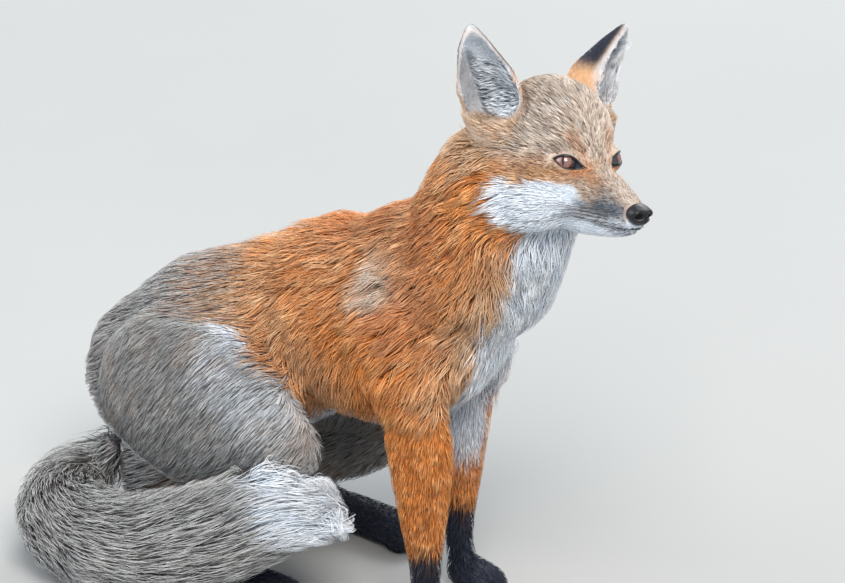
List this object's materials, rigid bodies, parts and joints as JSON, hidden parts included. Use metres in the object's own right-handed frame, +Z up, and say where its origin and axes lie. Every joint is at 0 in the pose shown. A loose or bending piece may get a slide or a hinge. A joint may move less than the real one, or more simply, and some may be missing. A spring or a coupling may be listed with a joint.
{
  "type": "sitting red fox",
  "caption": "Life-size still model of a red fox sitting on the floor, head up and turned, bushy tail laid round its side.",
  "frame": {"origin": "on the floor under the middle of the whole figure", "axes": "+X the way the body faces, +Y to its left, +Z up"},
  "size_m": [0.5876, 0.2876, 0.5492],
  "materials": {
    "coat_rufous": "thick orange-red fur",
    "coat_grizzled": "cream-grey fur with dark hair tips",
    "coat_white": "long white fur",
    "coat_black": "short blackish fur",
    "nose_leather": "moist pebbled black skin",
    "eye": "wet, brown iris with an upright pupil"
  },
  "bodies": {
    "root": {"head": "coat_rufous", "muzzle": "coat_rufous", "jaw": "coat_white", "nose": "nose_leather", "eye_right": "eye", "eye_left": "eye", "ear_right": "coat_black", "ear_left": "coat_black", "neck": "coat_rufous", "chest": "coat_rufous", "loins": "coat_rufous", "foreleg_right": "coat_rufous", "foreleg_left": "coat_rufous", "forepaw_right": "coat_black", "forepaw_left": "coat_black", "haunch_right": "coat_grizzled", "haunch_left": "coat_grizzled", "shank_right": "coat_grizzled", "shank_left": "coat_grizzled", "hindfoot_right": "coat_black", "hindfoot_left": "coat_black", "tail_root": "coat_grizzled", "tail_middle": "coat_grizzled", "tail_end": "coat_grizzled", "tail_tip": "coat_white"}
  },
  "joints": []
}
